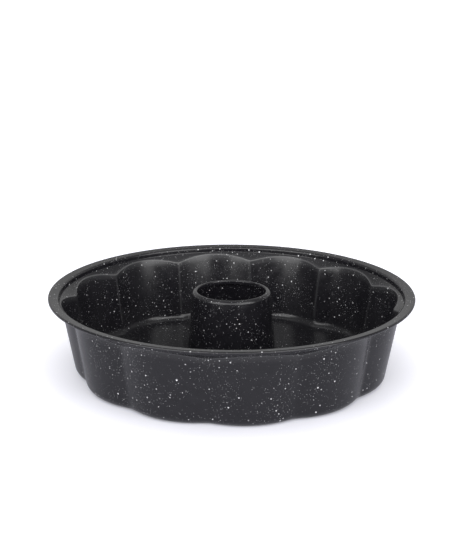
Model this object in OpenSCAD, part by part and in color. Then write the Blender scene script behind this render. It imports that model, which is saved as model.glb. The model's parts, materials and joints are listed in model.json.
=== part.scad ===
// Fluted ring cake pan with a wired rim and a seamed centre tube.
// The origin is the centre of the underside, with +Z up. All sizes are in millimetres.

/* [Pan] */
// Outer diameter of the rim
rim_d = 280; // [240:2:320]
// Height from the table to the top of the rim
pan_h = 62; // [62:1:80]
// Thickness of the coated steel sheet
sheet_t = 0.5; // [0.4:0.1:0.6]

/* [Rim] */
// Width of the rim, from the bowl's mouth to its outer edge
rim_w = 8; // [7:0.5:12]
// Diameter of the wire inside the curled edge
wire_d = 1; // [0.8:0.1:2]
// Rise of the rim from the mouth to its curled edge, in degrees
rim_slope = 8; // [0:1:12]
// Depth of the upright step below the rim
step_h = 4.8; // [4.4:0.2:6]
// Fall of the ledge towards the flutes, in degrees
ledge_slope = 34; // [20:1:36]

/* [Flutes] */
// Number of flutes around the bowl
flute_count = 12; // [10:2:14]
// Width of the ledge where a flute comes nearest the step
ledge_w = 1.8; // [1.6:0.1:3]
// How far the flute peaks draw in from the ledge to the base
wall_taper = 10; // [8:0.5:12]
// Depth of the creases between the flutes, up at the ledge
crease_top = 6; // [5:0.5:8]
// Depth of the creases between the flutes, down at the base
crease_base = 4.4; // [3.4:0.2:5]
// Bend radius between the wall and the base
base_bend = 7; // [5:0.5:8]

/* [Tube] */
// Height from the table to the top of the tube
tube_h = 61.2; // [50:0.2:61.6]
// Radius of the hole in the top of the tube
mouth_hole_r = 26.5; // [20:0.5:27]
// Outer radius of the tube just below its rounded top
tube_top_r = 30.4; // [29.5:0.1:31]
// Outer radius of the tube where it goes through the base
tube_foot_r = 35; // [33:0.5:36]
// Length of the upright lip around the hole
lip_h = 2; // [1:0.5:4]

/* [Seam] */
// Height of the raised centre of the base, which hides the seam
boss_h = 3; // [2.5:0.1:4]
// Radius of the raised centre of the base
boss_r = 46; // [45:1:50]
// Width of the tube's foot, rolled out under the base
foot_w = 4; // [3:0.5:5]
// How far the tube's bead stands out above the base
bead_out = 1.1; // [0.8:0.1:1.5]
// Height of the tube's bead
bead_h = 2.8; // [2.4:0.2:4]

/* [Hidden] */
$fn = 144;

coating_colour = [0.2, 0.2, 0.21];
wire_colour = [0.65, 0.65, 0.66];

// Clearance around the wire, and between the tube and its hole
fit_gap = 0.05;
// Drop of the step's wall from upright, in degrees
step_draft = 4;
// Bend radii at the middle of the sheet
mouth_bend = 1.4;
ledge_bend = 1.2;
boss_bend = 1.4;
crimp_bend = 0.42;
lip_bend = 0.65;
// Angle between the flat base and the boss's flank
boss_flank = 60;
// Angle from upright at which the base's bend runs straight out into the wall
foot_flare = 35;
// Angle swept by the curled edge
curl_turn = 278;

rim_r = rim_d / 2;
wire_r = wire_d / 2;
curl_r = wire_r + fit_gap + sheet_t;
curl_centre = [rim_r - curl_r, pan_h - curl_r];
mouth_r = rim_r - rim_w;

// Heights and radii of the step and the ledge, at the middle of the sheet
curl_start = curl_centre + (curl_r - sheet_t / 2) * heading(90 + rim_slope);
mouth_centre_r = mouth_r + sheet_t / 2 + mouth_bend;
mouth_fall = (curl_start[0] - mouth_centre_r) * tan(rim_slope) + mouth_bend / cos(rim_slope);
mouth_centre = [mouth_centre_r, curl_start[1] - mouth_fall];
step_start = mouth_centre + mouth_bend * heading(180 - step_draft);
step_end = step_start - (step_h - ledge_bend - mouth_bend) * heading(90 - step_draft);
ledge_centre = step_end - ledge_bend * heading(-step_draft);
ledge_start = ledge_centre + ledge_bend * heading(ledge_slope - 90);
ledge_reach = ledge_w + crease_top + 6;
ledge_end = ledge_start - ledge_reach * heading(ledge_slope);

// Each flute is a cone that leans out and narrows upwards; the peaks are on its outer surface
flute_half = 180 / flute_count;
peak_top = mouth_r - ledge_w + sheet_t;
peak_base = peak_top - wall_taper;
centre_top = flute_centre(peak_top, peak_top - crease_top);
centre_base = flute_centre(peak_base, peak_base - crease_base);
wall_h = ledge_start[1];
flute_lean = atan((centre_top - centre_base) / wall_h);
wall_draft = atan(wall_taper / wall_h);
flute_narrowing = tan(flute_lean - wall_draft);
flute_r = (peak_base - centre_base) * (cos(flute_lean) + flute_narrowing * sin(flute_lean));
cone_tail = 30;
// Every other flute is this much smaller, so no two neighbours mirror each other exactly
flute_trim = 0.02;
bend_centre_r = peak_base - centre_base - base_bend * tan(45 - wall_draft / 2);
core_r = peak_base - crease_base - base_bend - 10;

// Tube radii at the middle of the sheet
foot_mid_r = tube_foot_r - sheet_t / 2;
crown_bend = tube_top_r - mouth_hole_r - lip_bend - sheet_t;
crown_z = tube_h - sheet_t / 2;
bead_top = boss_h + sheet_t + bead_h;
tube_lean = atan((tube_foot_r - tube_top_r) / (tube_h - bead_top - crown_bend));

// Unit vector in the direction of an angle
function heading(a) = [cos(a), sin(a)];

// Points along an arc
function arc(centre, r, from, to, steps) =
    [for (i = [0 : steps]) centre + r * heading(from + (to - from) * i / steps)];

// Distance from the pan's axis to a flute's centre, for its peak and crease radii
function flute_centre(peak, crease) =
    (peak * peak - crease * crease) / (2 * (peak - crease * cos(flute_half)));

// Direction of a path at one of its points
function along(path, i) =
    let (step = path[min(i + 1, len(path) - 1)] - path[max(i - 1, 0)]) step / norm(step);

// A path moved sideways by a distance
function beside(path, gap) =
    [for (i = [0 : len(path) - 1]) path[i] + gap * [-along(path, i)[1], along(path, i)[0]]];

function reversed(path) = [for (i = [len(path) - 1 : -1 : 0]) path[i]];

// Sheet metal bent along a path and spun about the pan's axis
module spun_sheet(path) {
    rotate_extrude()
        polygon(concat(beside(path, sheet_t / 2), reversed(beside(path, -sheet_t / 2))));
}

// Ledge, step, rim and curled edge
module rim_ring() {
    spun_sheet(concat(
        [ledge_end],
        arc(ledge_centre, ledge_bend, ledge_slope - 90, -step_draft, 4),
        arc(mouth_centre, mouth_bend, 180 - step_draft, 90 + rim_slope, 6),
        arc(curl_centre, curl_r - sheet_t / 2, 90 + rim_slope, 90 - curl_turn, 18)
    ));
}

// Raised centre of the base, with the hole for the tube
module boss() {
    rise = boss_h + sheet_t / 2;
    low_centre = [boss_r - 1, sheet_t / 2 + boss_bend];
    flank = (boss_h - 2 * boss_bend * (1 - cos(boss_flank))) / sin(boss_flank);
    high_centre = low_centre + boss_bend * heading(270 - boss_flank)
        + flank * heading(180 - boss_flank) - boss_bend * heading(90 - boss_flank);
    spun_sheet(concat(
        [[boss_r + 2, sheet_t / 2]],
        arc(low_centre, boss_bend, 270, 270 - boss_flank, 5),
        arc(high_centre, boss_bend, 90 - boss_flank, 90, 5),
        [[tube_foot_r + 2 * fit_gap, rise]]
    ));
}

// Outline of a flute's foot about the flute's own upright axis: the bend, then a flare that
// crosses the wall at a clear angle
function foot_outline(inset) =
    let (
        bend = arc([bend_centre_r, base_bend], base_bend - inset, -90, -foot_flare, 3),
        bend_end = bend[len(bend) - 1],
        flare = (pan_h - bend_end[1]) / cos(foot_flare)
    )
    concat([[0, inset]], bend, [bend_end + flare * heading(90 - foot_flare), [0, pan_h]]);

// One flute as a solid, shrunk by a distance
module flute(inset) {
    translate([centre_base, 0, 0]) intersection() {
        rotate([0, flute_lean, 0])
            translate([0, 0, -cone_tail])
                cylinder(
                    h = cone_tail + 2 * pan_h,
                    r1 = flute_r - inset + cone_tail * flute_narrowing,
                    r2 = flute_r - inset - 2 * pan_h * flute_narrowing
                );
        rotate_extrude() polygon(foot_outline(inset));
    }
}

// All the flutes around a round core, as a solid up to a height
module fluted_bowl(inset, top) {
    side = rim_r + 20;
    half_w = side * tan(flute_half + 2);
    intersection() {
        union() {
            for (i = [0 : flute_count - 1]) rotate(i * 360 / flute_count) intersection() {
                flute(inset + flute_trim * (i % 2));
                linear_extrude(pan_h) polygon([[0, 0], [side, -half_w], [side, half_w]]);
            }
            translate([0, 0, inset]) cylinder(h = pan_h - 1, r = core_r - inset);
        }
        rotate_extrude() polygon(top);
    }
}

module pan_body() {
    below_ledge = [[0, 0], [ledge_start[0], 0], ledge_start, ledge_end, [0, ledge_end[1]]];
    below_step = [[0, 0], [mouth_r, 0], [mouth_r, wall_h + sheet_t], [0, wall_h + sheet_t]];
    color(coating_colour) {
        difference() {
            union() {
                fluted_bowl(0, below_ledge);
                rim_ring();
            }
            fluted_bowl(sheet_t, below_step);
            translate([0, 0, -1]) cylinder(h = pan_h, r = boss_r);
        }
        boss();
    }
}

module centre_tube() {
    crimp_centre = [foot_mid_r + crimp_bend, boss_h - sheet_t / 2 + crimp_bend];
    crown_centre = [mouth_hole_r + sheet_t / 2 + lip_bend, crown_z - crown_bend];
    lip_centre = [mouth_hole_r + sheet_t / 2 + lip_bend, crown_z - lip_bend];
    bead = [for (i = [0 : 10])
        [foot_mid_r + bead_out * (1 - cos(36 * i)) / 2, boss_h + sheet_t + bead_h * i / 10]];
    color(coating_colour) spun_sheet(concat(
        [[tube_foot_r + foot_w, boss_h - sheet_t / 2]],
        arc(crimp_centre, crimp_bend, 270, 180, 4),
        bead,
        arc(crown_centre, crown_bend, tube_lean, 90, 6),
        arc(lip_centre, lip_bend, 100, 180, 4),
        [lip_centre - [lip_bend, lip_h]]
    ));
}

module rim_wire() {
    color(wire_colour) rotate_extrude() translate(curl_centre) circle(r = wire_r);
}

pan_body();
centre_tube();
rim_wire();
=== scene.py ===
import json
import math

import bmesh
import bpy
from mathutils import Matrix, Vector


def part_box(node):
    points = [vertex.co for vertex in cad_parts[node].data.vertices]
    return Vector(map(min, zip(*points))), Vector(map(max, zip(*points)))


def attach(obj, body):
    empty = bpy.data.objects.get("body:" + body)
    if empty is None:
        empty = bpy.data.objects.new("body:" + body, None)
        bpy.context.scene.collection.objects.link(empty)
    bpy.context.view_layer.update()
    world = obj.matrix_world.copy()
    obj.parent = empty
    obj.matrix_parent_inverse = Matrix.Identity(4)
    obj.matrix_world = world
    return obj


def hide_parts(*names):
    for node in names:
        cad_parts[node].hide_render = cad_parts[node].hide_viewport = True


# Looks of the fluted ring cake pan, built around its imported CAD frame. Everything is in metres
# in the CAD frame: the origin is the centre of the underside, with +Z up.

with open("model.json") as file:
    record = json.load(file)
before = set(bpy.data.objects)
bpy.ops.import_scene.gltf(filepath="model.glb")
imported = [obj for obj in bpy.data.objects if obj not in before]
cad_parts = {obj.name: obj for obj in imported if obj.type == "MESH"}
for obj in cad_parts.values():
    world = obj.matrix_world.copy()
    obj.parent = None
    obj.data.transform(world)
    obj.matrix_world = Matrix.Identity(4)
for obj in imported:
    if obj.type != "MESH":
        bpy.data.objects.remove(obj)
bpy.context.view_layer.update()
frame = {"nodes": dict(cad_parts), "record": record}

MM = 0.001

# ---------------------------------------------------------------- sizes from the frame

PAN_LOW, PAN_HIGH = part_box("pan_body")
TUBE_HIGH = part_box("centre_tube")[1]
MOUNTS = {mount["name"]: mount for mount in frame["record"]["mounts"]}

# The CAD box is measured on flat facets, so the round edge stays a hair inside it
EDGE_MARGIN = 0.02 * MM
RIM_R = min(PAN_HIGH.x, PAN_HIGH.y, -PAN_LOW.x, -PAN_LOW.y) - EDGE_MARGIN
PAN_H = PAN_HIGH.z
TUBE_H = TUBE_HIGH.z
TUBE_MOUTH_R = MOUNTS["tube_mouth"]["dims"]["r_mm"] * MM
FOOT_R = min(TUBE_HIGH.x, TUBE_HIGH.y) - EDGE_MARGIN

# ---------------------------------------------------------------- sizes of the sheet metal

SHEET = 0.5 * MM
HALF_SHEET = SHEET / 2
# Edges that turn by more than this are shaded as sharp
SHARP_TURN = math.radians(40)

FLUTES = 12
HALF_FLUTE = math.pi / FLUTES
FLUTE_STEPS = 14
# Above 1, the mesh's columns crowd towards the creases
FLUTE_CROWDING = 1.5

# Rim: curled edge, rising flange, upright step and sloping ledge, at the middle of the sheet
WIRE_R = 0.5 * MM
WIRE_GAP = 0.05 * MM
CURL_R = WIRE_R + WIRE_GAP + HALF_SHEET
CURL_CENTRE = (RIM_R - CURL_R - HALF_SHEET, PAN_H - CURL_R - HALF_SHEET)
CURL_TURN = math.radians(278)
RIM_RISE = math.radians(8)
STEP_TOP_R = 132.33 * MM
STEP_FOOT = (132.05 * MM, PAN_H - 5.35 * MM)
LEDGE_FALL = math.tan(math.radians(34))

# Wall: radii of the flute peaks and of the creases, at the ledge and at the base
PEAK_TOP = 130.4 * MM
CREASE_TOP = 123.2 * MM
PEAK_BASE = 120.5 * MM
CREASE_BASE = 115.7 * MM

# Softness of the creases, as half the angle that each one's round takes up
CREASE_SOFT_TOP = math.radians(0.95)
CREASE_SOFT_BASE = math.radians(1.5)

# A painted highlight lies on the edges that stand out into the bowl: how far it reaches on the ledge's
# edge and on the creases, and what share of it the creases have
LEDGE_HIGHLIGHT_REACH = 0.95 * MM
CREASE_HIGHLIGHT_REACH = 1.2 * MM
CREASE_HIGHLIGHT_SHARE = 0.25

# Raised centre of the base
BOSS_H = 3.0 * MM
BOSS_TOP_R = 43.2 * MM
BOSS_FOOT_R = 45.4 * MM
TUBE_HOLE_R = 35.1 * MM

# Bend radii at the middle of the sheet
BOSS_BEND = 1.4 * MM
BASE_BEND = 7.0 * MM
FLUTE_EDGE_BEND = 1.6 * MM
LEDGE_BEND = 1.2 * MM
MOUTH_BEND = 1.4 * MM

# Centre tube
TUBE_FOOT_R = 35.0 * MM
TUBE_TOP_R = 30.4 * MM
TUBE_BEAD_OUT = 1.1 * MM
TUBE_BEAD_H = 2.8 * MM
CROWN_BEND = 2.6 * MM
LIP_BEND = 0.65 * MM
LIP_H = 2.0 * MM
CRIMP_BEND = 0.42 * MM
TUBE_COLUMNS = 144

# ---------------------------------------------------------------- the coating and the wire's steel

# In each pair of levels, a noise starts to show at the first and shows fully at the second.

# Coating: a dark ground with a slight mottling and grain, and a painted highlight as a paler colour on
# the flutes' edges inside the bowl
COATING_DARK = (0.0074, 0.0071, 0.0090, 1)
COATING_LIGHT = (0.0108, 0.0103, 0.0128, 1)
EDGE_HIGHLIGHT_COLOUR = (0.09, 0.09, 0.093, 1)
COATING_ROUGHNESS = (0.16, 0.26)
UNEVEN_LEVELS = (0.3, 1.7)
MOTTLE_SIZE = 6 * MM
MOTTLE_LEVELS = (0.3, 0.7)
GRAIN_SIZE = 0.5 * MM
GRAIN_STRENGTH = 0.25
GRAIN_DEPTH = 0.02 * MM

# Flecks: they crowd in patches of this size, and between the patches this share of them is left
FLECK_COLOUR = (0.82, 0.82, 0.84, 1)
FLECK_PATCH = 30 * MM
FLECK_LEVELS = (0.38, 0.64)
FLECKS_BETWEEN = 0.2
FLECK_LAYERS = [
    # spacing, largest radius, chance of a fleck in a patch, faintest, strongest
    (1.1 * MM, 0.30 * MM, 0.9, 0.08, 0.32),
    (1.8 * MM, 0.42 * MM, 0.6, 0.06, 0.34),
    (3.2 * MM, 0.72 * MM, 0.68, 0.28, 0.95),
]
# The smallest fleck of a layer, and the soft edge of each, as shares of the largest radius
SMALLEST_FLECK = 0.45
FLECK_EDGE = 0.3

# Steel of the wire: fine streaks from drawing, and dull patches
STEEL_BRIGHT = (0.58, 0.58, 0.59, 1)
STEEL_DULL = (0.42, 0.41, 0.40, 1)
STEEL_ROUGHNESS = (0.28, 0.45)
STREAK_SIZE = 0.3 * MM
STREAK_LEVELS = (0.2, 0.8)
STREAK_STRENGTH = 0.2
STREAK_DEPTH = 0.02 * MM
DULL_PATCH = 9 * MM
DULL_LEVELS = (0.35, 0.7)

# ---------------------------------------------------------------- table, lights and view

TABLE_SIZE = 12.0
TABLE_COLOUR = (0.69, 0.69, 0.76, 1)
TABLE_ROUGHNESS = 0.8
TABLE_SPECULAR = 0.2
# To the camera the table glows, less so where the pan is within reach: a painted contact shadow
TABLE_GLOW_COLOUR = (0.97, 0.97, 1.0, 1)
TABLE_GLOW = 0.70
TABLE_PAINTED_SHADOW_REACH = 48 * MM
# The table top is this far below the pan, so that the two faces never coincide
TABLE_GAP = 0.05 * MM

# Light panels around the pan, in degrees and relative brightness. The bearing is clockwise from
# the camera's side, so 90 is on the camera's left.
PANELS = [
    # bearing, height, half width, half height, brightness
    (0, 27, 20, 15, 2.9),
    (42, 11, 24, 15, 3.2),
    (-44, 11, 24, 15, 3.4),
    (42, 41, 22, 13, 2.6),
    (-44, 41, 22, 13, 2.9),
    (180, 18, 75, 14, 0.22),
    (180, 74, 90, 16, 0.4),
]
# A panel fades out from this far inside its edge to this far outside
PANEL_EDGE = 4
# Brightness of the room between the panels, and of the backdrop that only the camera sees
ROOM = 0.32
BACKDROP = 1.1
WHITE = (1, 1, 1, 1)

# The view is turned by this much about the pan's axis, so that the flutes fall as on the real pan
VIEW_TURN = math.radians(-7.24)
VIEW_ELEVATION = math.radians(19.05)
VIEW_DISTANCE = 0.8
VIEW_CENTRE_H = 30 * MM
VIEW_TILT = math.radians(3.4)
VIEW_PAN = math.radians(-0.37)
VIEW_ROLL = math.radians(-0.23)
# The camera's own sizes are in millimetres
SENSOR = 36.0
FOCAL = 68.83


# ---------------------------------------------------------------- outlines in the (radius, height) plane

def polar(centre, radius, angle):
    return (centre[0] + radius * math.cos(angle), centre[1] + radius * math.sin(angle))


def arc(centre, radius, start, end, steps):
    """Points along an arc, both ends included."""
    return [polar(centre, radius, start + (end - start) * i / steps) for i in range(steps + 1)]


def stretch(a, b, steps):
    """Points strictly between a and b, evenly spaced."""
    return [
        (a[0] + (b[0] - a[0]) * i / steps, a[1] + (b[1] - a[1]) * i / steps)
        for i in range(1, steps)
    ]


def bend(before, corner, after, radius, steps):
    """Points of a round bend of that radius that takes the place of a corner."""
    point = Vector(corner)
    back = (Vector(before) - point).normalized()
    on = (Vector(after) - point).normalized()
    half_angle = back.angle(on) / 2
    centre = point + (back + on).normalized() * radius / math.sin(half_angle)
    start = point + back * radius / math.tan(half_angle) - centre
    end = point + on * radius / math.tan(half_angle) - centre
    first = math.atan2(start.y, start.x)
    turn = (math.atan2(end.y, end.x) - first + math.pi) % (2 * math.pi) - math.pi
    return arc(centre, radius, first, first + turn, steps)


def bent_path(corners):
    """A path through (point, bend radius, bend steps, stretch steps) corners.

    The bend steps round the corner, and the stretch steps lead up to it. The ends have no bend.
    """
    path = []
    for i, (point, radius, bend_steps, stretch_steps) in enumerate(corners):
        if radius:
            rounded = bend(corners[i - 1][0], point, corners[i + 1][0], radius, bend_steps)
        else:
            rounded = [point]
        if path:
            path += stretch(path[-1], rounded[0], stretch_steps)
        path += rounded
    return path


def sheet_outline(path):
    """The closed outline of a sheet of the pan's thickness around a path."""
    sides = ([], [])
    for i, (r, z) in enumerate(path):
        before = Vector(path[max(i - 1, 0)])
        after = Vector(path[min(i + 1, len(path) - 1)])
        along = (after - before).normalized()
        for side, sign in zip(sides, (1, -1)):
            side.append((r - sign * HALF_SHEET * along.y, z + sign * HALF_SHEET * along.x))
    return sides[0] + sides[1][::-1]


# ---------------------------------------------------------------- the fluted shape

def turn_from_crease(angle):
    """Angle about the pan's axis from the nearest crease between two flutes."""
    return HALF_FLUTE - abs((angle + HALF_FLUTE) % (2 * HALF_FLUTE) - HALF_FLUTE)


def flute_radius(angle, peak, crease, soft):
    """Radius of the fluted outline at an angle: convex arcs that meet in softened creases."""
    from_crease = turn_from_crease(angle)
    share = from_crease / HALF_FLUTE
    softened = math.hypot(from_crease, soft * (1 - share))
    from_peak = HALF_FLUTE - softened
    centre = (peak**2 - crease**2) / (2 * (peak - crease * math.cos(HALF_FLUTE)))
    reach = math.sqrt((peak - centre) ** 2 - (centre * math.sin(from_peak)) ** 2)
    return centre * math.cos(from_peak) + reach


def wall_ends(angle):
    """The wall's two corners at an angle, in the (radius, height) plane: at the base, at the ledge."""
    base_r = flute_radius(angle, PEAK_BASE, CREASE_BASE, CREASE_SOFT_BASE)
    ledge_r = flute_radius(angle, PEAK_TOP, CREASE_TOP, CREASE_SOFT_TOP)
    ledge_z = STEP_FOOT[1] - (STEP_FOOT[0] - ledge_r) * LEDGE_FALL
    return (base_r, HALF_SHEET), (ledge_r, ledge_z)


def flute_angles(steps):
    """Column angles for the whole pan, closer together at the creases."""
    half = [HALF_FLUTE * (i / steps) ** FLUTE_CROWDING for i in range(steps + 1)]
    flute = [a - HALF_FLUTE for a in half] + [HALF_FLUTE - a for a in half[-2:0:-1]]
    return [a + 2 * HALF_FLUTE * k for k in range(FLUTES) for a in flute]


def even_angles(count):
    return [2 * math.pi * i / count for i in range(count)]


def body_outline(angle):
    """Section of the pan's body: base, fluted wall, ledge, step, flange and curled edge."""
    base_corner, ledge_corner = wall_ends(angle)
    curl = arc(CURL_CENTRE, CURL_R, math.pi / 2 + RIM_RISE, math.pi / 2 - CURL_TURN, steps=28)
    step_top = (STEP_TOP_R, curl[0][1] - (curl[0][0] - STEP_TOP_R) * math.tan(RIM_RISE))
    corners = [
        # point, bend radius, bend steps, stretch steps
        ((TUBE_HOLE_R, BOSS_H + HALF_SHEET), 0, 0, 0),
        ((BOSS_TOP_R, BOSS_H + HALF_SHEET), BOSS_BEND, 5, 3),
        ((BOSS_FOOT_R, HALF_SHEET), BOSS_BEND, 5, 2),
        (base_corner, BASE_BEND, 10, 10),
        (ledge_corner, FLUTE_EDGE_BEND, 6, 10),
        (STEP_FOOT, LEDGE_BEND, 6, 3),
        (step_top, MOUTH_BEND, 8, 3),
        (curl[0], 0, 0, 4),
    ]
    return sheet_outline(bent_path(corners) + curl[1:])


def body_painted_highlight(point):
    """Strength of the painted highlight at a point: most on the ledge's edge, less on the creases, 0 off
    them.
    """
    r = math.hypot(point.x, point.y)
    angle = math.atan2(point.y, point.x)
    (base_r, _), (ledge_r, ledge_z) = wall_ends(angle)
    from_ledge_edge = math.hypot(r - ledge_r, point.z - ledge_z)
    painted_highlight = 1 - from_ledge_edge / LEDGE_HIGHLIGHT_REACH
    wall_r = base_r + (ledge_r - base_r) * point.z / ledge_z
    if BASE_BEND < point.z < ledge_z and r < wall_r:
        from_crease = r * turn_from_crease(angle)
        painted_highlight = max(painted_highlight, CREASE_HIGHLIGHT_SHARE * (1 - from_crease / CREASE_HIGHLIGHT_REACH))
    return max(painted_highlight, 0.0)


def tube_path():
    """Middle of the tube's sheet: rolled foot, bead, tapered wall, rounded crown and turned-in lip."""
    wall_r = TUBE_FOOT_R - HALF_SHEET
    floor_top = BOSS_H + SHEET
    crimp_centre = (wall_r + CRIMP_BEND, BOSS_H - HALF_SHEET + CRIMP_BEND)
    crown_z = TUBE_H - HALF_SHEET
    lean = math.atan((TUBE_FOOT_R - TUBE_TOP_R) / (TUBE_H - floor_top - TUBE_BEAD_H))
    crown_r = TUBE_TOP_R - HALF_SHEET - CROWN_BEND
    lip_r = TUBE_MOUTH_R + HALF_SHEET + LIP_BEND
    lip_end = (TUBE_MOUTH_R + HALF_SHEET, crown_z - LIP_BEND - LIP_H)
    bead_steps = 14
    bead = [
        (
            wall_r + TUBE_BEAD_OUT * (1 - math.cos(2 * math.pi * i / bead_steps)) / 2,
            floor_top + TUBE_BEAD_H * i / bead_steps,
        )
        for i in range(bead_steps + 1)
    ]
    foot_end = (FOOT_R, BOSS_H - HALF_SHEET)
    crimp = arc(crimp_centre, CRIMP_BEND, 1.5 * math.pi, math.pi, steps=5)
    crown = arc((crown_r, crown_z - CROWN_BEND), CROWN_BEND, lean, math.pi / 2, steps=10)
    wall = stretch(bead[-1], crown[0], steps=12)
    lip = arc((lip_r, crown_z - LIP_BEND), LIP_BEND, math.pi / 2, math.pi, steps=8)
    lip_wall = stretch(lip[-1], lip_end, steps=3)
    return [foot_end] + crimp + bead + wall + crown + lip + lip_wall + [lip_end]


# ---------------------------------------------------------------- meshes

def add_object(name, bm):
    """Puts a finished bmesh into the scene as an object."""
    mesh = bpy.data.meshes.new(name)
    bm.to_mesh(mesh)
    bm.free()
    piece = bpy.data.objects.new(name, mesh)
    bpy.context.scene.collection.objects.link(piece)
    return piece


def mark_sharp_edges(bm):
    for face in bm.faces:
        face.smooth = True
    for edge in bm.edges:
        if len(edge.link_faces) == 2 and edge.calc_face_angle() > SHARP_TURN:
            edge.smooth = False


def ring_piece(name, angles, outline_at):
    """A closed ring: the outline at each angle, joined to its neighbours on both sides."""
    bm = bmesh.new()
    columns = [
        [bm.verts.new((r * math.cos(a), r * math.sin(a), z)) for r, z in outline_at(a)]
        for a in angles
    ]
    for column, following in zip(columns, columns[1:] + columns[:1]):
        for i in range(len(column)):
            j = (i + 1) % len(column)
            bm.faces.new((column[i], following[i], following[j], column[j]))
    bmesh.ops.recalc_face_normals(bm, faces=bm.faces)
    mark_sharp_edges(bm)
    return add_object(name, bm)


def make_pan_body():
    piece = ring_piece("pan_shell", flute_angles(FLUTE_STEPS), body_outline)
    # This attribute carries the strength of the painted highlight on the flutes' edges at each vertex
    painted_highlight = piece.data.attributes.new("painted_highlight", "FLOAT", "POINT")
    painted_highlight.data.foreach_set("value", [body_painted_highlight(vertex.co) for vertex in piece.data.vertices])
    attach(piece, "root")
    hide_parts("pan_body")
    return piece


def make_centre_tube():
    outline = sheet_outline(tube_path())
    piece = ring_piece("tube_shell", even_angles(TUBE_COLUMNS), lambda angle: outline)
    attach(piece, "root")
    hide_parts("centre_tube")
    return piece


# ---------------------------------------------------------------- materials

class Nodes:
    """A short way to add and join the nodes of a material or a world."""

    def __init__(self, tree):
        self.tree = tree

    def add(self, kind, **settings):
        node = self.tree.nodes.new(kind)
        for key, value in settings.items():
            setattr(node, key, value)
        return node

    def put(self, socket, value):
        """Joins an output to a socket, or sets a plain value on it."""
        if isinstance(value, bpy.types.NodeSocket):
            self.tree.links.new(value, socket)
        else:
            socket.default_value = value

    def math(self, operation, *values, clamp=False):
        node = self.add("ShaderNodeMath", operation=operation, use_clamp=clamp)
        for socket, value in zip(node.inputs, values):
            self.put(socket, value)
        return node.outputs[0]


class MaterialNodes(Nodes):
    """The nodes of a new material, placed by the object's own coordinates."""

    def __init__(self, name):
        self.material = bpy.data.materials.new(name)
        self.material.use_nodes = True
        super().__init__(self.material.node_tree)
        self.shader = self.tree.nodes["Principled BSDF"]
        self.place = self.add("ShaderNodeTexCoord").outputs["Object"]

    def shade(self, name, value):
        """Gives the shader's input of that name an output or a plain value."""
        self.put(self.shader.inputs[name], value)

    def noise(self, size, detail):
        """Smooth noise with features of about that size, from 0 to 1."""
        node = self.add("ShaderNodeTexNoise")
        self.put(node.inputs["Vector"], self.place)
        self.put(node.inputs["Scale"], 1 / size)
        self.put(node.inputs["Detail"], detail)
        return node.outputs["Fac"]

    def ramp(self, value, levels, results=(0.0, 1.0)):
        """Goes from the first result to the second as the value goes from level to level."""
        node = self.add("ShaderNodeMapRange", clamp=True)
        for socket, given in zip(node.inputs, (value, *levels, *results)):
            self.put(socket, given)
        return node.outputs["Result"]

    def mix(self, share, a, b):
        node = self.add("ShaderNodeMix", data_type="RGBA")
        self.put(node.inputs["Factor"], share)
        self.put(node.inputs["A"], a)
        self.put(node.inputs["B"], b)
        return node.outputs["Result"]

    def bump(self, height, strength, distance):
        node = self.add("ShaderNodeBump")
        self.put(node.inputs["Height"], height)
        self.put(node.inputs["Strength"], strength)
        self.put(node.inputs["Distance"], distance)
        return node.outputs["Normal"]


def specks(nodes, cell, size, kept, dimmest, brightest):
    """One size of pale fleck: a dot in some of the cells of a 3-D grid of random points.

    cell is the spacing, size the largest dot's radius, and kept a socket with the chance that a
    cell has a dot. The dots' strengths run from dimmest to brightest.
    """
    cells = nodes.add("ShaderNodeTexVoronoi", feature="F1")
    nodes.put(cells.inputs["Vector"], nodes.place)
    nodes.put(cells.inputs["Scale"], 1 / cell)
    chance = nodes.add("ShaderNodeSeparateColor")
    nodes.put(chance.inputs["Color"], cells.outputs["Color"])
    largest = size / cell
    radius = nodes.ramp(chance.outputs["Red"], (0, 1), (SMALLEST_FLECK * largest, largest))
    inside = nodes.math("SUBTRACT", radius, cells.outputs["Distance"])
    dot = nodes.math("DIVIDE", inside, FLECK_EDGE * largest, clamp=True)
    shown = nodes.math("LESS_THAN", chance.outputs["Green"], kept)
    strength = nodes.ramp(chance.outputs["Blue"], (0, 1), (dimmest, brightest))
    return nodes.math("MULTIPLY", nodes.math("MULTIPLY", dot, shown), strength)


def all_specks(nodes):
    """Flecks of every size, crowded in patches."""
    crowding = nodes.ramp(nodes.noise(FLECK_PATCH, detail=3), FLECK_LEVELS, (FLECKS_BETWEEN, 1.0))
    flecks = 0.0
    for cell, size, chance, dimmest, brightest in FLECK_LAYERS:
        kept = nodes.math("MULTIPLY", crowding, chance)
        layer = specks(nodes, cell, size, kept, dimmest, brightest)
        flecks = nodes.math("MAXIMUM", flecks, layer)
    return flecks


def coating(name):
    """Dark satin non-stick coating with pale flecks of several sizes."""
    nodes = MaterialNodes(name)
    mottling = nodes.ramp(nodes.noise(MOTTLE_SIZE, detail=4), MOTTLE_LEVELS)
    ground = nodes.mix(mottling, COATING_DARK, COATING_LIGHT)
    # Painted highlight: the ground turns paler along the flutes' edges inside the bowl
    painted_highlight = nodes.add("ShaderNodeAttribute", attribute_name="painted_highlight").outputs["Fac"]
    ground = nodes.mix(painted_highlight, ground, EDGE_HIGHLIGHT_COLOUR)
    nodes.shade("Base Color", nodes.mix(all_specks(nodes), ground, FLECK_COLOUR))

    grain = nodes.noise(GRAIN_SIZE, detail=2)
    unevenness = nodes.math("ADD", mottling, grain)
    nodes.shade("Roughness", nodes.ramp(unevenness, UNEVEN_LEVELS, COATING_ROUGHNESS))
    nodes.shade("Normal", nodes.bump(grain, GRAIN_STRENGTH, GRAIN_DEPTH))
    return nodes.material


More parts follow.
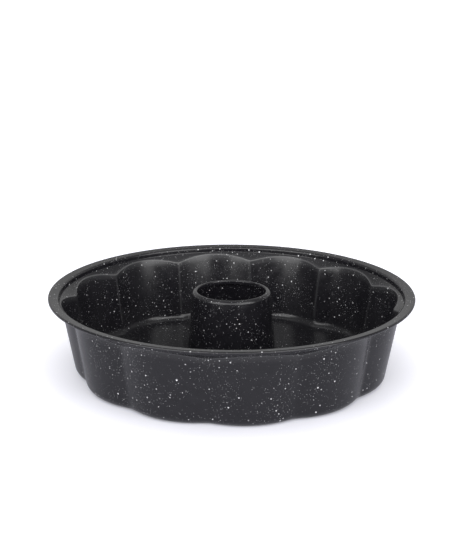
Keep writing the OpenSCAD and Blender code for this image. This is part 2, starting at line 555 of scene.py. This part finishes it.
def wire_steel(name):
    """Drawn steel wire with fine streaks and a little dulling."""
    nodes = MaterialNodes(name)
    streaks = nodes.noise(STREAK_SIZE, detail=4)
    dulling = nodes.ramp(nodes.noise(DULL_PATCH, detail=3), DULL_LEVELS)
    nodes.shade("Base Color", nodes.mix(dulling, STEEL_BRIGHT, STEEL_DULL))
    nodes.shade("Metallic", 1.0)
    nodes.shade("Roughness", nodes.ramp(streaks, STREAK_LEVELS, STEEL_ROUGHNESS))
    nodes.shade("Normal", nodes.bump(streaks, STREAK_STRENGTH, STREAK_DEPTH))
    return nodes.material


def finish_with(piece, material):
    piece.data.materials.clear()
    piece.data.materials.append(material)


# ---------------------------------------------------------------- studio

def table_white(name):
    """Matt white to the pan. To the camera it glows like a lit table, and dims close to the pan in a
    painted contact shadow.
    """
    nodes = MaterialNodes(name)
    nodes.shade("Base Color", TABLE_COLOUR)
    nodes.shade("Roughness", TABLE_ROUGHNESS)
    nodes.shade("Specular IOR Level", TABLE_SPECULAR)
    nodes.shade("Emission Color", TABLE_GLOW_COLOUR)
    # Painted contact shadow: the camera's glow is dimmed by ambient occlusion near the pan
    openness = nodes.add("ShaderNodeAmbientOcclusion")
    nodes.put(openness.inputs["Distance"], TABLE_PAINTED_SHADOW_REACH)
    glow = nodes.math("MULTIPLY", openness.outputs["AO"], TABLE_GLOW)
    seen = nodes.add("ShaderNodeLightPath").outputs["Is Camera Ray"]
    nodes.shade("Emission Strength", nodes.math("MULTIPLY", seen, glow))
    return nodes.material


def make_floor():
    """A plain table top that reaches past everything the camera sees."""
    bm = bmesh.new()
    bmesh.ops.create_grid(bm, x_segments=1, y_segments=1, size=TABLE_SIZE / 2)
    floor = add_object("table_top", bm)
    floor.location.z = -TABLE_GAP
    finish_with(floor, table_white("table_white"))


def panel_light(nodes, bearing, height):
    """Brightness of the room and its panels in a direction, given in degrees."""

    def within(angle, half):
        """1 where an angle is within half of 0, fading to 0 across the panel's edge."""
        offset = nodes.math("ABSOLUTE", angle)
        past = nodes.math("SUBTRACT", half + PANEL_EDGE, offset)
        return nodes.math("DIVIDE", past, 2.0 * PANEL_EDGE, clamp=True)

    light = ROOM
    for panel_bearing, panel_height, half_width, half_height, brightness in PANELS:
        centre = 180 + panel_bearing - math.degrees(VIEW_TURN)
        aside = nodes.math("WRAP", nodes.math("SUBTRACT", bearing, centre), 180.0, -180.0)
        above = nodes.math("SUBTRACT", height, panel_height)
        inside = nodes.math("MULTIPLY", within(aside, half_width), within(above, half_height))
        light = nodes.math("MULTIPLY_ADD", inside, brightness, light)
    return light


def make_world():
    """White to the camera; to the pan, a dim room with soft bright panels."""
    world = bpy.data.worlds.new("studio")
    bpy.context.scene.world = world
    world.use_nodes = True
    nodes = Nodes(world.node_tree)

    direction = nodes.add("ShaderNodeSeparateXYZ")
    nodes.put(direction.inputs[0], nodes.add("ShaderNodeTexCoord").outputs["Generated"])
    x, y, z = direction.outputs
    height = nodes.math("MULTIPLY", nodes.math("ARCSINE", z), math.degrees(1))
    bearing = nodes.math("MULTIPLY", nodes.math("ARCTAN2", x, y), math.degrees(1))

    room = world.node_tree.nodes["Background"]
    nodes.put(room.inputs["Color"], WHITE)
    nodes.put(room.inputs["Strength"], panel_light(nodes, bearing, height))
    backdrop = nodes.add("ShaderNodeBackground")
    nodes.put(backdrop.inputs["Color"], WHITE)
    nodes.put(backdrop.inputs["Strength"], BACKDROP)
    chosen = nodes.add("ShaderNodeMixShader")
    seen = nodes.add("ShaderNodeLightPath").outputs["Is Camera Ray"]
    for socket, value in zip(chosen.inputs, (seen, room.outputs[0], backdrop.outputs[0])):
        nodes.put(socket, value)
    nodes.put(world.node_tree.nodes["World Output"].inputs["Surface"], chosen.outputs[0])


def make_camera():
    """The camera looks past the pan's middle by a small tilt and pan, with a small roll."""
    data = bpy.data.cameras.new("view")
    data.sensor_width = SENSOR
    data.lens = FOCAL
    camera = bpy.data.objects.new("view", data)
    turn = Matrix.Rotation(VIEW_TURN, 3, "Z")
    towards = Vector((0, math.cos(VIEW_ELEVATION), -math.sin(VIEW_ELEVATION)))
    camera.location = turn @ (Vector((0, 0, VIEW_CENTRE_H)) - VIEW_DISTANCE * towards)
    aim = (turn @ towards).to_track_quat("-Z", "Y")
    nudge = (
        Matrix.Rotation(-VIEW_PAN, 3, "Y")
        @ Matrix.Rotation(VIEW_TILT, 3, "X")
        @ Matrix.Rotation(-VIEW_ROLL, 3, "Z")
    )
    camera.rotation_mode = "QUATERNION"
    camera.rotation_quaternion = aim @ nudge.to_quaternion()
    bpy.context.scene.collection.objects.link(camera)
    bpy.context.scene.camera = camera


# ---------------------------------------------------------------- the scene

pan_shell = make_pan_body()
tube_shell = make_centre_tube()
finish_with(pan_shell, coating("body_coating"))
finish_with(tube_shell, coating("tube_coating"))
finish_with(frame["nodes"]["rim_wire"], wire_steel("wire_steel"))

make_floor()
make_world()
make_camera()
bpy.context.scene.view_settings.view_transform = "Standard"
